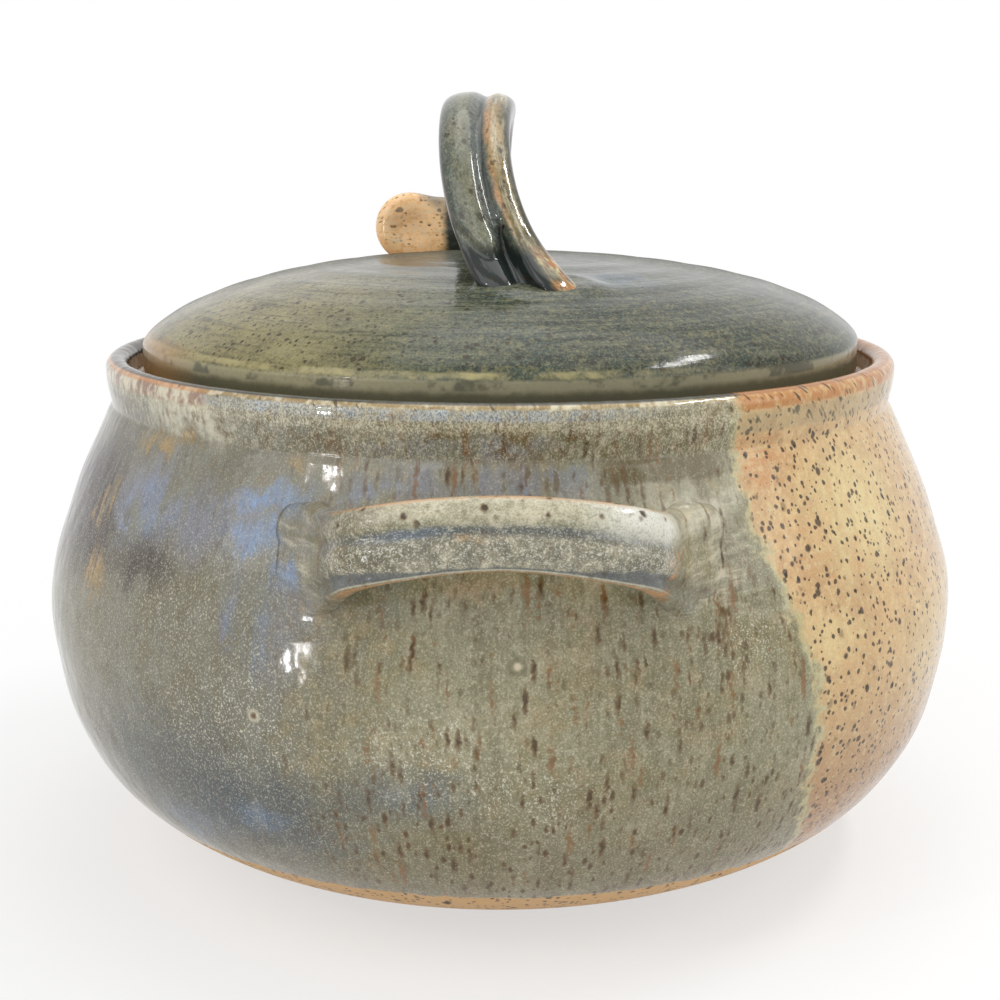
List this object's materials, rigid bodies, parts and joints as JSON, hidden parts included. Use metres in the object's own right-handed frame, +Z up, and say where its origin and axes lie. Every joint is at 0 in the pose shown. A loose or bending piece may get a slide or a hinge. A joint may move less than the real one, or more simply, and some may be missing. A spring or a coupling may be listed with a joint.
{
  "type": "casserole dish",
  "caption": "Round-bellied stoneware casserole dish with a loose domed lid that rests in a gallery inside the lip, upswept lug handles and an arched strap handle on the lid.",
  "frame": {"origin": "centre of the foot on the table, under the axis of the pot", "axes": "+Z up along the axis of the pot, -Y to the front where the lug handle faces the viewer, +X to the viewer's right"},
  "size_m": [0.25, 0.2806, 0.2039],
  "materials": {
    "pot_glaze": "glossy mottled glaze over buff speckled stoneware",
    "handle_glaze": "glossy grey-green glaze that breaks orange-brown on the edges",
    "lid_glaze": "glossy dark olive-teal glaze with fine dark specks",
    "strap_glaze": "glossy grey-green glaze with a bare buff tail"
  },
  "bodies": {
    "pot": {"pot_body": "pot_glaze", "front_handle": "handle_glaze", "rear_handle": "handle_glaze"},
    "lid": {"lid": "lid_glaze", "lid_handle": "strap_glaze"}
  },
  "joints": [
    {"name": "lid_lift", "type": "slide", "parent": "pot", "child": "lid", "axis": [0, 0, 1], "range_m": [0, 0.15]}
  ]
}
